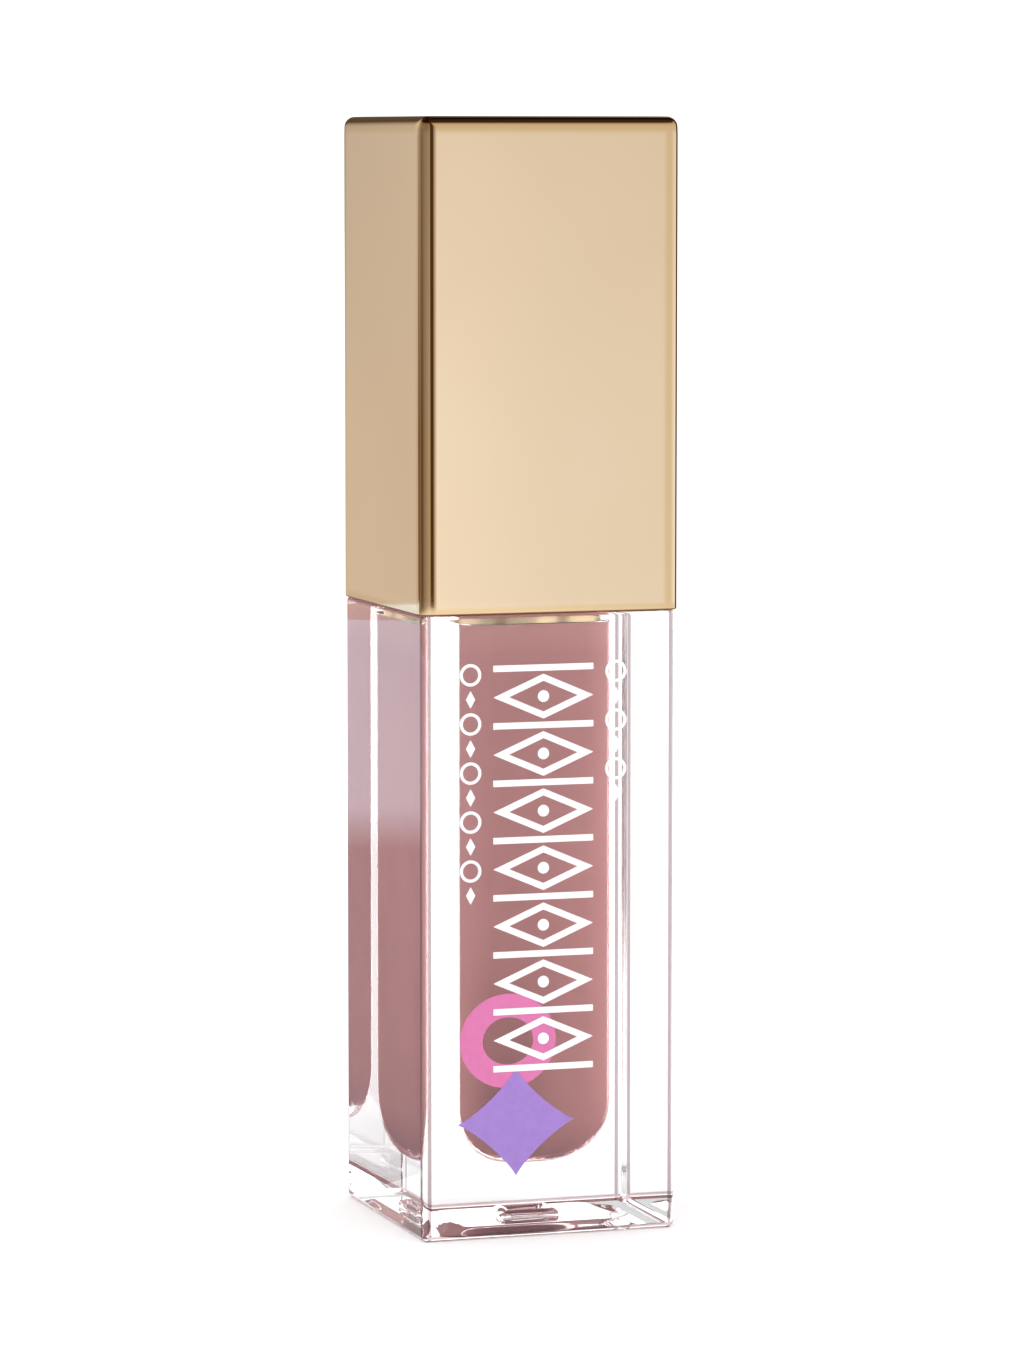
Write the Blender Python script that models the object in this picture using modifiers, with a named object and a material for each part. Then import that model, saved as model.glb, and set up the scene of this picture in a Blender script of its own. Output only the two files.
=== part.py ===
"""Lip gloss tube: a thick clear square bottle, its gold screw cap and the applicator inside.

The origin is the centre of the base, +Z is up and the decorated face looks along -Y.
Everything is in metres. The cap turns about Z and then lifts along Z.
"""

import math

import bmesh
import bpy

MM = 0.001

# Driving dimensions
TOTAL_HEIGHT = 80.0 * MM
BOTTLE_WIDTH = 19.1 * MM
SHOULDER_Z = 44.65 * MM
CAP_WIDTH = 19.4 * MM
SEAM = 0.3 * MM                    # gap kept between pieces that touch
RUNNING_GAP = 0.05 * MM            # clearance between pieces that turn in each other

# Bottle
CORNER_RADIUS = 0.6 * MM
BASE_EDGE_RADIUS = 0.45 * MM
SHOULDER_EDGE_RADIUS = 0.25 * MM
CAVITY_HALF = 0.30 * BOTTLE_WIDTH
CAVITY_CORNER_RADIUS = 0.12 * BOTTLE_WIDTH
CAVITY_FLOOR_Z = 4.5 * MM
CAVITY_FILLET = 4.4 * MM
CAVITY_TOP_Z = 43.95 * MM
MOUTH_RADIUS = 5.95 * MM
MOUTH_SEAT_Z = 43.8 * MM
RECESS_FOOT_HALF = 8.1 * MM         # the recess is square at the rim and slopes in to a round roof
RECESS_FOOT_CORNER_RADIUS = 2.5 * MM
RECESS_STEP = 0.1 * MM
RECESS_ROOF_RADIUS = 7.3 * MM
RECESS_DEPTH = 0.5 * MM
GATE_RADIUS = 3.0 * MM
GATE_NUB_RADIUS = 1.5 * MM
GATE_DEPTH = 0.6 * MM

# Neck insert and wiper
FLANGE_RADIUS = MOUTH_RADIUS - SEAM
FLANGE_BOTTOM_Z = MOUTH_SEAT_Z + SEAM
FLANGE_TOP_Z = SHOULDER_Z
NECK_ROOT_RADIUS = 4.3 * MM
NECK_CREST_RADIUS = 4.75 * MM
NECK_BORE_RADIUS = 3.45 * MM
NECK_TOP_Z = 54.7 * MM
WIPER_OUTER_RADIUS = NECK_BORE_RADIUS - SEAM
WIPER_WALL = 0.4 * MM
WIPER_FLANGE_RADIUS = 4.2 * MM
WIPER_FLANGE_Z = NECK_TOP_Z + SEAM
WIPER_TOP_Z = 55.5 * MM
WIPER_CONE_Z = 49.6 * MM
WIPER_LIP_Z = 46.8 * MM
WIPER_ORIFICE_RADIUS = 2.15 * MM

# Screw thread shared by the neck and the liner
THREAD_PITCH = 3.0 * MM
THREAD_TURNS = 1.5
THREAD_START_Z = 47.7 * MM
THREAD_BASE_HEIGHT = 1.3 * MM
THREAD_CREST_HEIGHT = 0.6 * MM
THREAD_ROOT_OVERLAP = 0.2 * MM
THREAD_CREST_CLEARANCE = 0.1 * MM
THREAD_RUN_OUT = 0.12              # share of the thread's length over which each end fades

# Cap shell and liner
CAP_BOTTOM_Z = SHOULDER_Z + SEAM
CAP_WALL = 1.2 * MM
CAP_TOP_WALL = 1.4 * MM
CAP_CORNER_RADIUS = 0.8 * MM
CAP_RIM_RADIUS = 0.2 * MM
CAP_INNER_CORNER_RADIUS = 0.5 * MM
LINER_BOTTOM_Z = CAP_BOTTOM_Z + SEAM
LINER_PLATE_HALF = CAP_WIDTH / 2 - CAP_WALL - SEAM
LINER_PLATE_THICKNESS = 1.1 * MM
LINER_PLATE_CORNER_RADIUS = 0.4 * MM
LINER_RADIUS = 6.5 * MM
LINER_BORE_RADIUS = 5.3 * MM
LINER_CEILING_Z = 56.5 * MM
LINER_CEILING_TOP_Z = 57.8 * MM
LINER_RIB_THICKNESS = 1.0 * MM
LINER_RIB_OVERLAP = 0.5 * MM
SOCKET_RADIUS = 3.2 * MM
SOCKET_TOP_Z = 69.0 * MM

# Stem and applicator
STEM_RADIUS = 1.8 * MM
STEM_TOP_Z = 67.6 * MM
STEM_BOTTOM_Z = 17.0 * MM
STEM_COLLAR_RADIUS = 3.2 * MM
STEM_COLLAR_Z = 55.65 * MM
STEM_COLLAR_THICKNESS = 0.7 * MM
STEM_BORE_RADIUS = 1.3 * MM
STEM_BORE_TOP_Z = 23.0 * MM
STEM_EDGE = 0.15 * MM
FLOCK_THICKNESS = 0.4 * MM
FLOCK_TOP_Z = STEM_BOTTOM_Z - SEAM
FLOCK_TIP_Z = 6.6 * MM
FLOCK_RADIUS = 1.75 * MM
FLOCK_TIP_HALF_WIDTH = 1.7 * MM
FLOCK_TIP_HALF_THICKNESS = 0.8 * MM
CORE_SPIGOT_RADIUS = STEM_BORE_RADIUS - SEAM

# Gloss
GLOSS_TOP_Z = CAVITY_TOP_Z - SEAM
GLOSS_CHANNEL_RADIUS = 2.4 * MM
GLOSS_CHANNEL_FLOOR_Z = FLOCK_TIP_Z - SEAM

# Facet counts
ROUND_STEPS = 40
SLIM_STEPS = 24
CORNER_STEPS = 5
FILLET_STEPS = 7
THREAD_STEPS_PER_TURN = 24
FOOT_STEPS = 12
NEARLY_ROUND = 0.96                # corner radius over half width, where a square is all but a circle
SMOOTH_ANGLE = math.radians(35)


def clear_scene():
    for obj in list(bpy.data.objects):
        bpy.data.objects.remove(obj, do_unlink=True)


def make_collection(name):
    collection = bpy.data.collections.new(name)
    bpy.context.scene.collection.children.link(collection)
    return collection


def principled(name, colour, roughness, metallic=0.0, transmission=0.0, ior=1.5):
    material = bpy.data.materials.new(name)
    material.use_nodes = True
    shader = material.node_tree.nodes["Principled BSDF"]
    shader.inputs["Base Color"].default_value = (*colour, 1.0)
    shader.inputs["Roughness"].default_value = roughness
    shader.inputs["Metallic"].default_value = metallic
    shader.inputs["Transmission Weight"].default_value = transmission
    shader.inputs["IOR"].default_value = ior
    material.diffuse_color = (*colour, 1.0)
    return material


def add_object(name, bm, collection, material=None):
    """Make an object of a bmesh, with its normals pointing out."""
    bmesh.ops.recalc_face_normals(bm, faces=bm.faces)
    mesh = bpy.data.meshes.new(name)
    bm.to_mesh(mesh)
    bm.free()
    return place(name, mesh, collection, material)


def place(name, mesh, collection, material=None):
    obj = bpy.data.objects.new(name, mesh)
    collection.objects.link(obj)
    if material:
        mesh.materials.append(material)
    if collection.name == CUTTERS:
        obj.hide_render = True
        obj.display_type = "WIRE"
    return obj


def block(half_x, half_y, low_z, high_z, upright_radius=0.0, steps=3):
    """A box whose upright edges may be rounded."""
    bm = bmesh.new()
    bmesh.ops.create_cube(bm, size=1.0)
    for vert in bm.verts:
        vert.co.x *= 2 * half_x
        vert.co.y *= 2 * half_y
        vert.co.z = high_z if vert.co.z > 0 else low_z
    if upright_radius:
        upright = [e for e in bm.edges if abs(e.verts[0].co.z - e.verts[1].co.z) > MM / 10]
        bevel(bm, upright, upright_radius, steps)
    return bm


def bevel(bm, edges, radius, steps):
    bmesh.ops.bevel(bm, geom=edges, offset=radius, offset_type="OFFSET", segments=steps,
                    profile=0.5, affect="EDGES", clamp_overlap=True)


def round_rim(bm, height, radius, steps=2):
    """Round every edge that lies at this height."""
    rim = [e for e in bm.edges if all(abs(v.co.z - height) < MM / 100 for v in e.verts)]
    bevel(bm, rim, radius, steps)


def turned(name, profile, steps, collection, material=None):
    """Turn an outline about Z; the outline starts at the top of its outer side and goes down.

    An outline that starts and ends on the axis stays open, any other is closed into a loop.
    """
    mesh = bpy.data.meshes.new(name)
    points = [(radius, 0.0, z) for radius, z in profile]
    edges = [(i, i + 1) for i in range(len(points) - 1)]
    on_axis = profile[0][0] == 0.0 and profile[-1][0] == 0.0
    if not on_axis:
        edges.append((len(points) - 1, 0))
    mesh.from_pydata(points, edges, [])
    obj = place(name, mesh, collection, material)
    screw = obj.modifiers.new("Turn", "SCREW")
    screw.axis = "Z"
    screw.steps = steps
    screw.render_steps = steps
    screw.use_merge_vertices = True
    screw.merge_threshold = MM / 1000
    return obj


def rounded_square(half, radius, z):
    """Points of a square with rounded corners, anticlockwise from above."""
    ring = []
    for quarter in range(4):
        turn = quarter * math.pi / 2
        centre_angle = turn + math.pi / 4
        reach = math.sqrt(2) * (half - radius)
        for step in range(CORNER_STEPS + 1):
            angle = turn + step * math.pi / 2 / CORNER_STEPS
            ring.append((reach * math.cos(centre_angle) + radius * math.cos(angle),
                         reach * math.sin(centre_angle) + radius * math.sin(angle), z))
    return ring


def loft(rings):
    """A closed body through rings that have the same number of points, capped at both ends."""
    bm = bmesh.new()
    loops = [[bm.verts.new(point) for point in ring] for ring in rings]
    count = len(rings[0])
    for lower, upper in zip(loops, loops[1:]):
        for i in range(count):
            j = (i + 1) % count
            bm.faces.new((lower[i], lower[j], upper[j], upper[i]))
    bm.faces.new(list(reversed(loops[0])))
    bm.faces.new(loops[-1])
    return bm


def cavity_body(inset, floor_z, top_z):
    """The cavity's shape, drawn in by an inset: rounded square sides and a bowl-edged floor."""
    half = CAVITY_HALF - inset
    fillet = CAVITY_FILLET - inset
    rings = []
    for step in range(FILLET_STEPS + 1):
        angle = step * math.pi / 2 / FILLET_STEPS
        ring_half = half - fillet * (1 - math.sin(angle))
        ring_radius = (CAVITY_CORNER_RADIUS - inset) * (0.45 + 0.55 * ring_half / half)
        ring_radius = min(ring_radius, 0.9 * ring_half)
        rings.append(rounded_square(ring_half, ring_radius, floor_z + fillet * (1 - math.cos(angle))))
    rings.append(rounded_square(half, CAVITY_CORNER_RADIUS - inset, top_z))
    return loft(rings)


def thread(root_radius, crest_radius, start_z):
    """A helical ridge from root to crest that fades in and out at its ends."""
    inward = 1 if crest_radius > root_radius else -1
    buried = root_radius - inward * THREAD_ROOT_OVERLAP
    steps = int(THREAD_TURNS * THREAD_STEPS_PER_TURN)
    rings = []
    for step in range(steps + 1):
        share = step / steps
        fade = min(1.0, share / THREAD_RUN_OUT, (1 - share) / THREAD_RUN_OUT)
        crest = root_radius + (crest_radius - root_radius) * fade - inward * (1 - fade) * MM / 20
        angle = share * THREAD_TURNS * 2 * math.pi
        middle = start_z + share * THREAD_TURNS * THREAD_PITCH
        section = [(buried, -THREAD_BASE_HEIGHT / 2), (crest, -THREAD_CREST_HEIGHT / 2),
                   (crest, THREAD_CREST_HEIGHT / 2), (buried, THREAD_BASE_HEIGHT / 2)]
        rings.append([(r * math.cos(angle), r * math.sin(angle), middle + dz) for r, dz in section])
    return loft(rings)


def boolean(obj, tool, operation):
    modifier = obj.modifiers.new(operation.title(), "BOOLEAN")
    modifier.operation = operation
    modifier.solver = "EXACT"
    modifier.object = tool


def smooth(obj):
    obj.data.shade_smooth()
    obj.data.set_sharp_from_angle(angle=SMOOTH_ANGLE)


def make_bottle():
    half = BOTTLE_WIDTH / 2
    bm = block(half, half, 0.0, SHOULDER_Z, CORNER_RADIUS)
    round_rim(bm, 0.0, BASE_EDGE_RADIUS)
    round_rim(bm, SHOULDER_Z, SHOULDER_EDGE_RADIUS)
    bottle = add_object("bottle", bm, parts, clear_plastic)
    over = MM
    cavity = add_object("cavity_cutter", cavity_body(0.0, CAVITY_FLOOR_Z, CAVITY_TOP_Z), cutters)
    mouth = turned("mouth_cutter", [(0.0, SHOULDER_Z + over), (MOUTH_RADIUS, SHOULDER_Z + over),
                                    (MOUTH_RADIUS, MOUTH_SEAT_Z), (0.0, MOUTH_SEAT_Z)],
                   ROUND_STEPS, cutters)
    foot = [rounded_square(RECESS_FOOT_HALF, RECESS_FOOT_CORNER_RADIUS, z) for z in (-over, RECESS_STEP)]
    roof = rounded_square(RECESS_ROOF_RADIUS, NEARLY_ROUND * RECESS_ROOF_RADIUS, RECESS_DEPTH)
    recess = add_object("recess_cutter", loft(foot + [roof]), cutters)
    gate_top = RECESS_DEPTH + GATE_DEPTH
    gate = turned("gate_cutter", [(GATE_RADIUS - GATE_DEPTH / 2, gate_top), (GATE_RADIUS, 0.0),
                                  (GATE_NUB_RADIUS, 0.0), (GATE_NUB_RADIUS, gate_top)],
                  SLIM_STEPS, cutters)
    for tool in (cavity, mouth, recess, gate):
        boolean(bottle, tool, "DIFFERENCE")


def make_neck_insert():
    profile = [(NECK_ROOT_RADIUS, NECK_TOP_Z), (NECK_ROOT_RADIUS, FLANGE_TOP_Z),
               (FLANGE_RADIUS, FLANGE_TOP_Z), (FLANGE_RADIUS, FLANGE_BOTTOM_Z),
               (NECK_BORE_RADIUS, FLANGE_BOTTOM_Z), (NECK_BORE_RADIUS, NECK_TOP_Z)]
    insert = turned("neck_insert", profile, ROUND_STEPS, parts, gold_plastic)
    ridge = add_object("neck_thread", thread(NECK_ROOT_RADIUS, NECK_CREST_RADIUS, THREAD_START_Z), cutters)
    boolean(insert, ridge, "UNION")


def make_wiper():
    inner = WIPER_OUTER_RADIUS - WIPER_WALL
    profile = [(WIPER_FLANGE_RADIUS, WIPER_TOP_Z), (WIPER_FLANGE_RADIUS, WIPER_FLANGE_Z),
               (WIPER_OUTER_RADIUS, WIPER_FLANGE_Z), (WIPER_OUTER_RADIUS, WIPER_CONE_Z),
               (WIPER_ORIFICE_RADIUS + WIPER_WALL, WIPER_LIP_Z), (WIPER_ORIFICE_RADIUS, WIPER_LIP_Z),
               (inner, WIPER_CONE_Z), (inner, WIPER_TOP_Z)]
    smooth(turned("wiper", profile, ROUND_STEPS, parts, soft_plastic))


def make_gloss():
    gloss = add_object("gloss_fill", cavity_body(SEAM, CAVITY_FLOOR_Z + SEAM, GLOSS_TOP_Z),
                       parts, rose_gloss)
    channel = turned("channel_cutter", [(0.0, GLOSS_TOP_Z + MM), (GLOSS_CHANNEL_RADIUS, GLOSS_TOP_Z + MM),
                                        (GLOSS_CHANNEL_RADIUS, GLOSS_CHANNEL_FLOOR_Z),
                                        (0.0, GLOSS_CHANNEL_FLOOR_Z)], SLIM_STEPS, cutters)
    boolean(gloss, channel, "DIFFERENCE")


def make_outer_cap():
    half = CAP_WIDTH / 2
    bm = block(half, half, CAP_BOTTOM_Z, TOTAL_HEIGHT, CAP_CORNER_RADIUS, 4)
    round_rim(bm, TOTAL_HEIGHT, CAP_CORNER_RADIUS, 3)
    round_rim(bm, CAP_BOTTOM_Z, CAP_RIM_RADIUS)
    cap = add_object("outer_cap", bm, parts, gold_metallised)
    inner_half = half - CAP_WALL
    hollow_bm = block(inner_half, inner_half, CAP_BOTTOM_Z - MM, TOTAL_HEIGHT - CAP_TOP_WALL,
                      CAP_INNER_CORNER_RADIUS)
    hollow = add_object("hollow_cutter", hollow_bm, cutters)
    boolean(cap, hollow, "DIFFERENCE")


def make_inner_cap():
    """The liner: threaded barrel, stem socket, a square foot plate and four ribs."""
    socket_bore = STEM_RADIUS + RUNNING_GAP
    profile = [(0.0, SOCKET_TOP_Z), (SOCKET_RADIUS, SOCKET_TOP_Z), (SOCKET_RADIUS, LINER_CEILING_TOP_Z),
               (LINER_RADIUS, LINER_CEILING_TOP_Z), (LINER_RADIUS, LINER_BOTTOM_Z),
               (LINER_BORE_RADIUS, LINER_BOTTOM_Z), (LINER_BORE_RADIUS, LINER_CEILING_Z),
               (socket_bore, LINER_CEILING_Z), (socket_bore, STEM_TOP_Z + SEAM),
               (0.0, STEM_TOP_Z + SEAM)]
    liner = turned("inner_cap", profile, ROUND_STEPS, parts, gold_plastic)
    plate_bm = block(LINER_PLATE_HALF, LINER_PLATE_HALF, LINER_BOTTOM_Z,
                     LINER_BOTTOM_Z + LINER_PLATE_THICKNESS, LINER_PLATE_CORNER_RADIUS, 2)
    plate = add_object("liner_plate", plate_bm, cutters)
    hole_radius = LINER_RADIUS - LINER_RIB_OVERLAP
    plate_hole = turned("plate_hole", [(0.0, LINER_CEILING_Z), (hole_radius, LINER_CEILING_Z),
                                       (hole_radius, LINER_BOTTOM_Z - MM), (0.0, LINER_BOTTOM_Z - MM)],
                        ROUND_STEPS, cutters)
    boolean(plate, plate_hole, "DIFFERENCE")
    boolean(liner, plate, "UNION")
    rib_inner = LINER_RADIUS - LINER_RIB_OVERLAP
    rib_length = LINER_PLATE_HALF - rib_inner
    for index in range(4):
        rib_bm = block(rib_length / 2, LINER_RIB_THICKNESS / 2,
                       LINER_BOTTOM_Z + LINER_PLATE_THICKNESS / 2, LINER_CEILING_TOP_Z - MM / 2)
        for vert in rib_bm.verts:
            vert.co.x += rib_inner + rib_length / 2
        rib = add_object(f"liner_rib_{index + 1}", rib_bm, cutters)
        rib.rotation_euler = (0.0, 0.0, index * math.pi / 2)
        boolean(liner, rib, "UNION")
    crest_radius = NECK_CREST_RADIUS + THREAD_CREST_CLEARANCE
    ridge = add_object("liner_thread",
                       thread(LINER_BORE_RADIUS, crest_radius, THREAD_START_Z - THREAD_PITCH / 2), cutters)
    boolean(liner, ridge, "UNION")


def make_stem():
    collar_top = STEM_COLLAR_Z + STEM_COLLAR_THICKNESS
    profile = [(0.0, STEM_TOP_Z), (STEM_RADIUS - STEM_EDGE, STEM_TOP_Z),
               (STEM_RADIUS, STEM_TOP_Z - STEM_EDGE), (STEM_RADIUS, collar_top),
               (STEM_COLLAR_RADIUS, collar_top),
               (STEM_COLLAR_RADIUS, STEM_COLLAR_Z), (STEM_RADIUS, STEM_COLLAR_Z),
               (STEM_RADIUS, STEM_BOTTOM_Z + STEM_EDGE), (STEM_RADIUS - STEM_EDGE, STEM_BOTTOM_Z),
               (STEM_BORE_RADIUS, STEM_BOTTOM_Z), (STEM_BORE_RADIUS, STEM_BORE_TOP_Z),
               (0.0, STEM_BORE_TOP_Z)]
    smooth(turned("stem", profile, SLIM_STEPS, parts, soft_plastic))


def foot_ring(share, inset, top_z, tip_z):
    """One section of the slanted doe-foot: round at the top, a thin rounded blade at the tip."""
    slant = share ** 1.4
    tip = math.sqrt(max(0.0, 1 - max(0.0, (share - 0.8) / 0.2) ** 2))
    half_x = (FLOCK_RADIUS + (FLOCK_TIP_HALF_WIDTH - FLOCK_RADIUS) * slant - inset) * (0.35 + 0.65 * tip)
    half_y = (FLOCK_RADIUS + (FLOCK_TIP_HALF_THICKNESS - FLOCK_RADIUS) * slant - inset) * (0.35 + 0.65 * tip)
    lean = (FLOCK_RADIUS - FLOCK_TIP_HALF_THICKNESS) * slant
    z = top_z + (tip_z - top_z) * share
    ring = []
    for step in range(SLIM_STEPS):
        angle = -step * 2 * math.pi / SLIM_STEPS
        ring.append((half_x * math.cos(angle), lean + half_y * math.sin(angle), z))
    return ring


def foot(inset, top_z, tip_z):
    return loft([foot_ring(step / FOOT_STEPS, inset, top_z, tip_z) for step in range(FOOT_STEPS + 1)])


def make_applicator():
    core_inset = FLOCK_THICKNESS + SEAM
    core_top = FLOCK_TOP_Z
    core_tip = FLOCK_TIP_Z + core_inset
    core = add_object("applicator_core", foot(core_inset, core_top, core_tip), parts, core_plastic)
    spigot = turned("core_spigot", [(0.0, STEM_BORE_TOP_Z - SEAM),
                                    (CORE_SPIGOT_RADIUS, STEM_BORE_TOP_Z - SEAM),
                                    (CORE_SPIGOT_RADIUS, core_top - MM / 2), (0.0, core_top - MM / 2)],
                    SLIM_STEPS, cutters)
    boolean(core, spigot, "UNION")
    flock = add_object("applicator_flock", foot(0.0, FLOCK_TOP_Z, FLOCK_TIP_Z), parts, flock_fibre)
    hollow = add_object("flock_hollow", foot(FLOCK_THICKNESS, FLOCK_TOP_Z + MM / 10,
                                             FLOCK_TIP_Z + FLOCK_THICKNESS), cutters)
    boolean(flock, hollow, "DIFFERENCE")
    smooth(flock)


CUTTERS = "cutters"
clear_scene()
parts = make_collection("lip_gloss_tube")
cutters = make_collection(CUTTERS)

clear_plastic = principled("clear_plastic", (0.95, 0.95, 0.96), 0.03, transmission=1.0, ior=1.57)
gold_metallised = principled("gold_metallised", (0.83, 0.66, 0.42), 0.12, metallic=1.0)
gold_plastic = principled("gold_plastic", (0.78, 0.58, 0.30), 0.3, metallic=0.8)
rose_gloss = principled("rose_gloss", (0.48, 0.20, 0.19), 0.25, ior=1.46)
soft_plastic = principled("soft_plastic", (0.86, 0.85, 0.82), 0.45)
core_plastic = principled("core_plastic", (0.80, 0.78, 0.74), 0.5)
flock_fibre = principled("flock_fibre", (0.72, 0.48, 0.46), 0.95)

make_bottle()
make_neck_insert()
make_wiper()
make_gloss()
make_outer_cap()
make_inner_cap()
make_stem()
make_applicator()
bpy.context.view_layer.update()
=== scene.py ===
"""Looks of the lip gloss tube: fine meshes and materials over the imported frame, and its studio.

Everything is in metres in the frame's own axes: +Z up, the decorated face looks along -Y.
"""
import math
import random

import bmesh
import bpy
from mathutils import Matrix, Vector


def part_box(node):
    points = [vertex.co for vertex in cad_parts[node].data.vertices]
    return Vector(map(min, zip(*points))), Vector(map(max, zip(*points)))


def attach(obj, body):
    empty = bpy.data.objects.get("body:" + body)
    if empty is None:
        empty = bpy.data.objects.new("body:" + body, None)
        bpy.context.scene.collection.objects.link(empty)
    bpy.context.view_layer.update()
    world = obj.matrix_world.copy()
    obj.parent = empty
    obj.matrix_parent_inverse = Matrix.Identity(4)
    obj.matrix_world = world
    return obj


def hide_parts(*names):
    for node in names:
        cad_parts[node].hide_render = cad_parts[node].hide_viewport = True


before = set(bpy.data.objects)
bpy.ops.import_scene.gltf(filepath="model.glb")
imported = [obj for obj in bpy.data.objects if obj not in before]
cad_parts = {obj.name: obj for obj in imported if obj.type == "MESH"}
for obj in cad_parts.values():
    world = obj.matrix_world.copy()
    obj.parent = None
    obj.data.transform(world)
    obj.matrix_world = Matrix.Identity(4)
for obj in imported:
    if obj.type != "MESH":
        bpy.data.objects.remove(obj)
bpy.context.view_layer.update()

MM = 0.001

# Places and sizes that the frame gives
BOTTLE_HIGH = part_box("bottle")[1]
CAP_LOW, CAP_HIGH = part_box("outer_cap")
LINER_LOW, LINER_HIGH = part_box("inner_cap")
NECK_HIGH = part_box("neck_insert")[1]
WIPER_LOW, WIPER_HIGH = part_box("wiper")
STEM_LOW, STEM_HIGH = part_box("stem")
FLOCK_LOW, FLOCK_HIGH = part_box("applicator_flock")
CORE_LOW, CORE_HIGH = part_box("applicator_core")
GLOSS_LOW, GLOSS_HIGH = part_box("gloss_fill")
BOTTLE_HALF = BOTTLE_HIGH[0]
CAP_HALF = CAP_HIGH[0]
SHOULDER_Z = BOTTLE_HIGH[2]
CAP_BOTTOM_Z = CAP_LOW[2]
CAP_TOP_Z = CAP_HIGH[2]

# Details finer than the frame's solids
SEAM = 0.3 * MM                        # gap that the frame's solids keep where the real pieces touch
JOINT_LINE = 0.05 * MM                 # the line that shows between the bottle and its closed cap
SHOULDER_TOP_Z = SHOULDER_Z + (SEAM - JOINT_LINE) * 0.6
CAP_RIM_Z = CAP_BOTTOM_Z - (SEAM - JOINT_LINE) * 0.4
CONTACT = 0.012 * MM                   # how far the gloss and the collar bite into the clear wall
HEADSPACE = 0.06 * MM                  # air between the gloss and the shoulder's underside
RING_ARC_STEPS = 10
ROUND_STEPS = 96
SLIM_STEPS = 48
CROWN_ANGLE = math.radians(3.0)        # how far a moulded face leans before its corner begins
CAP_CROWN_RADIUS = 14.0 * MM
CAP_CORNER_RADIUS = 0.75 * MM
CAP_RIM_RADIUS = 0.12 * MM
CAP_WALL = 1.2 * MM
BOTTLE_CROWN_RADIUS = 6.0 * MM
BOTTLE_CORNER_RADIUS = 0.55 * MM
BOTTLE_BASE_RADIUS = 0.45 * MM
BOTTLE_SHOULDER_RADIUS = 0.25 * MM
CAVITY_HALF = GLOSS_HIGH[0] + SEAM
CAVITY_CORNER_RADIUS = 0.4 * CAVITY_HALF
CAVITY_FLOOR_Z = GLOSS_LOW[2] - SEAM
CAVITY_TOP_Z = GLOSS_HIGH[2] + SEAM
CAVITY_FILLET = 0.77 * CAVITY_HALF
CHANNEL_RADIUS = 2.4 * MM
THREAD_START_Z = 47.7 * MM
THREAD_PITCH = 3.0 * MM
COLLAR_RADIUS = NECK_HIGH[0] + 0.02 * MM
RECESS_FOOT_HALF = 8.1 * MM
RECESS_FOOT_CORNER_RADIUS = 2.5 * MM
RECESS_ROOF_RADIUS = 7.3 * MM
RECESS_DEPTH = 0.5 * MM
GATE_RADIUS = 3.0 * MM
GATE_NUB_RADIUS = 1.5 * MM
GATE_DEPTH = 0.6 * MM


# ---------------------------------------------------------------- mesh building

def new_piece(name, bm, body, replaced=(), smooth_angle=30.0):
    """An object from a bmesh, riding on a body and the nodes it stands for."""
    bmesh.ops.recalc_face_normals(bm, faces=bm.faces)
    mesh = bpy.data.meshes.new(name)
    bm.to_mesh(mesh)
    bm.free()
    mesh.shade_smooth()
    mesh.set_sharp_from_angle(angle=math.radians(smooth_angle))
    obj = bpy.data.objects.new(name, mesh)
    bpy.context.scene.collection.objects.link(obj)
    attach(obj, body)
    if replaced:
        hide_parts(*replaced)
    return obj


def arc_turn(crown_radius, corner_radius, steps=RING_ARC_STEPS):
    """A quarter turn as (inward, along) offsets: a wide arc, the corner's arc, a wide arc."""
    spans = [(0.0, CROWN_ANGLE, crown_radius, 3),
             (CROWN_ANGLE, math.pi / 2 - CROWN_ANGLE, corner_radius, steps),
             (math.pi / 2 - CROWN_ANGLE, math.pi / 2, crown_radius, 3)]
    inward = along = 0.0
    points = [(0.0, 0.0)]
    for start, end, radius, count in spans:
        for step in range(count):
            a = start + (end - start) * step / count
            b = start + (end - start) * (step + 1) / count
            inward += radius * (math.cos(a) - math.cos(b))
            along += radius * (math.sin(b) - math.sin(a))
            points.append((inward, along))
    return points


def square_ring(half, crown_radius, corner_radius, z):
    """A rounded square whose faces are very slightly crowned towards the corners."""
    turn = arc_turn(max(crown_radius, corner_radius), corner_radius)
    reach = turn[-1][1]
    corner = [(half - inward, half - reach + along) for inward, along in turn]
    ring = []
    for quarter in range(4):
        c, s = round(math.cos(quarter * math.pi / 2)), round(math.sin(quarter * math.pi / 2))
        ring += [(x * c - y * s, x * s + y * c, z) for x, y in corner]
    return ring


def circle_ring(radius, z, like):
    """A circle with its points at the same angles as those of another ring."""
    ring = []
    for x, y, _ in like:
        angle = math.atan2(y, x)
        ring.append((radius * math.cos(angle), radius * math.sin(angle), z))
    return ring


def loft(rings):
    """A closed body through rings that all have the same number of points."""
    bm = bmesh.new()
    loops = [[bm.verts.new(point) for point in ring] for ring in rings]
    count = len(rings[0])
    for lower, upper in zip(loops, loops[1:]):
        for i in range(count):
            j = (i + 1) % count
            bm.faces.new((lower[i], lower[j], upper[j], upper[i]))
    bm.faces.new(list(reversed(loops[0])))
    bm.faces.new(loops[-1])
    return bm


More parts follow.
